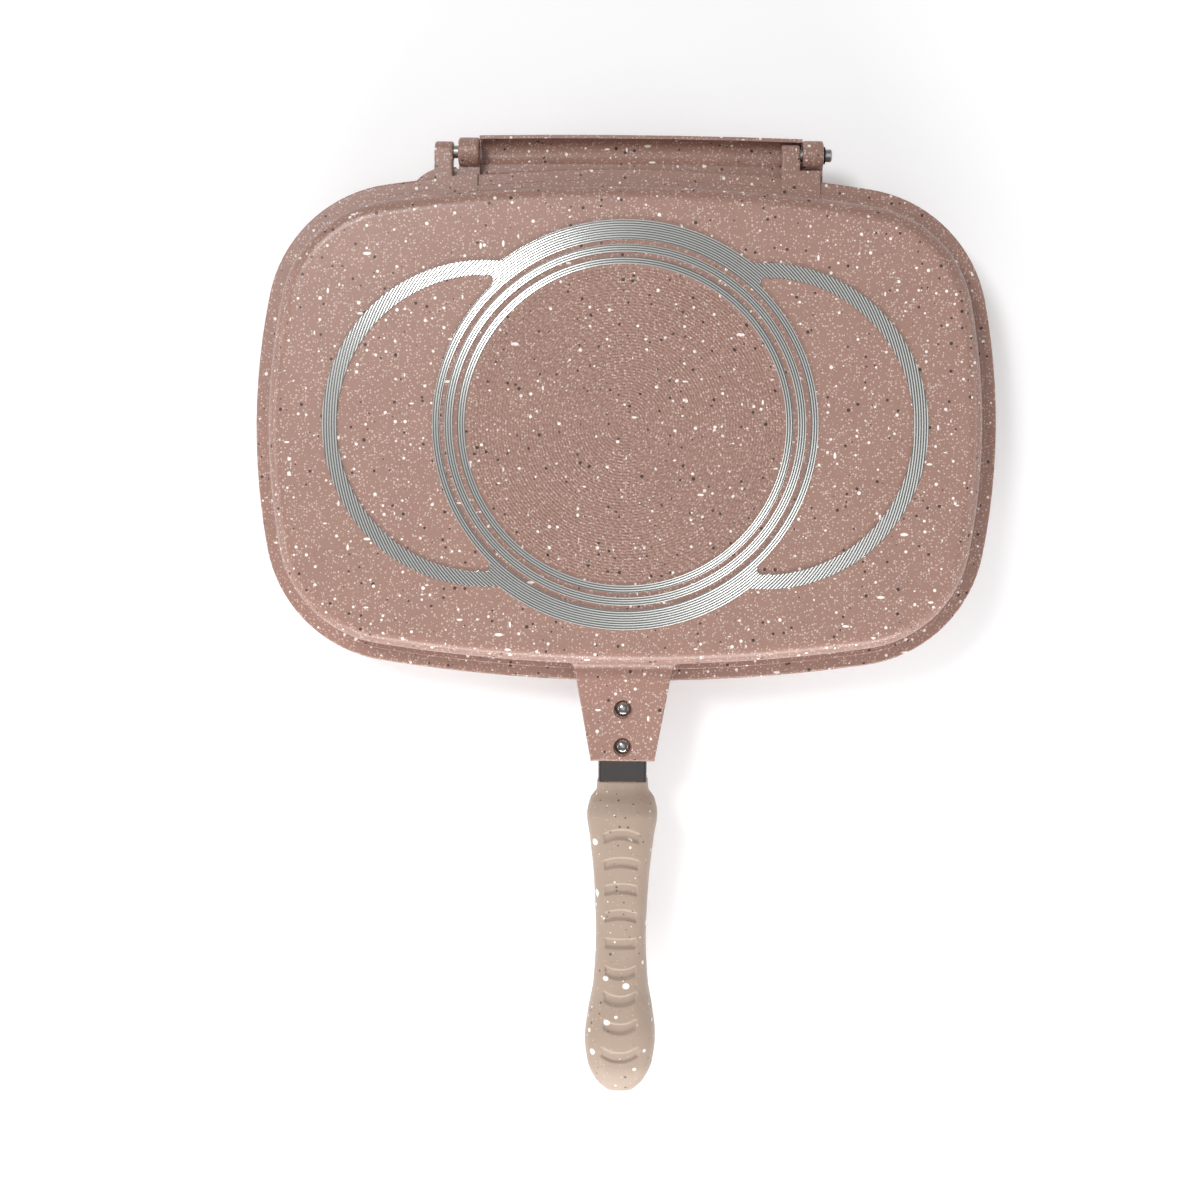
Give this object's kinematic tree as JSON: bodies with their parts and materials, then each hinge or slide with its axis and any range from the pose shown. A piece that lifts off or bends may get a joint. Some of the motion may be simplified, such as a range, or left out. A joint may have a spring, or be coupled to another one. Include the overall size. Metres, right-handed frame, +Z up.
{
  "type": "double sided flip pan",
  "caption": "Closed rectangular flip pan: rounded cast shells hinged at the back and meeting rim to rim, each with a riveted steel bracket and a grooved soft grip.",
  "frame": {"origin": "centre of the faced rings under the lower base, on the surface the pan stands on", "axes": "+X to the right seen from above with the handle towards you, +Y to the hinge, +Z up; the parting plane is at z = 0.035"},
  "size_m": [0.3578, 0.4623, 0.07],
  "materials": {
    "stone_coating": "speckled satin stone-look coating over cast aluminium",
    "base_plate_steel": "dimpled, under the base coating",
    "silicone": "matte silicone",
    "pin_steel": "turned steel",
    "clip_steel": "blackened spring steel",
    "bracket_steel": "polished stainless steel",
    "rivet_steel": "pressed stainless steel",
    "soft_grip": "speckled soft-touch coating",
    "screw_steel": "zinc plated",
    "magnet": "nickel plated",
    "cup_steel": "zinc plated"
  },
  "bodies": {
    "lower_half": {"lower_pan": "stone_coating", "lower_induction_plate": "base_plate_steel", "rim_gasket": "silicone", "lower_handle_bracket": "bracket_steel", "lower_bracket_rivets": "rivet_steel", "lower_grip": "soft_grip", "lower_grip_screws": "screw_steel", "lower_grip_magnet": "magnet", "lower_magnet_cup": "cup_steel"},
    "hinge_pins": {"hinge_pin_left": "pin_steel", "hinge_pin_right": "pin_steel", "hinge_pin_clip": "clip_steel"},
    "upper_half": {"upper_pan": "stone_coating", "upper_induction_plate": "base_plate_steel", "upper_handle_bracket": "bracket_steel", "upper_bracket_rivets": "rivet_steel", "upper_grip": "soft_grip", "upper_grip_screws": "screw_steel", "upper_grip_magnet": "magnet", "upper_magnet_cup": "cup_steel"}
  },
  "joints": [
    {"name": "lid_hinge", "type": "hinge", "parent": "lower_half", "child": "hinge_pins", "pos_m": [0, 0.1316, 0.035], "axis": [-1, 0, 0], "range_deg": [0, 105]},
    {"name": "lift_off_slide", "type": "slide", "parent": "hinge_pins", "child": "upper_half", "axis": [-1, 0, 0], "range_m": [0, 0.0085]}
  ]
}
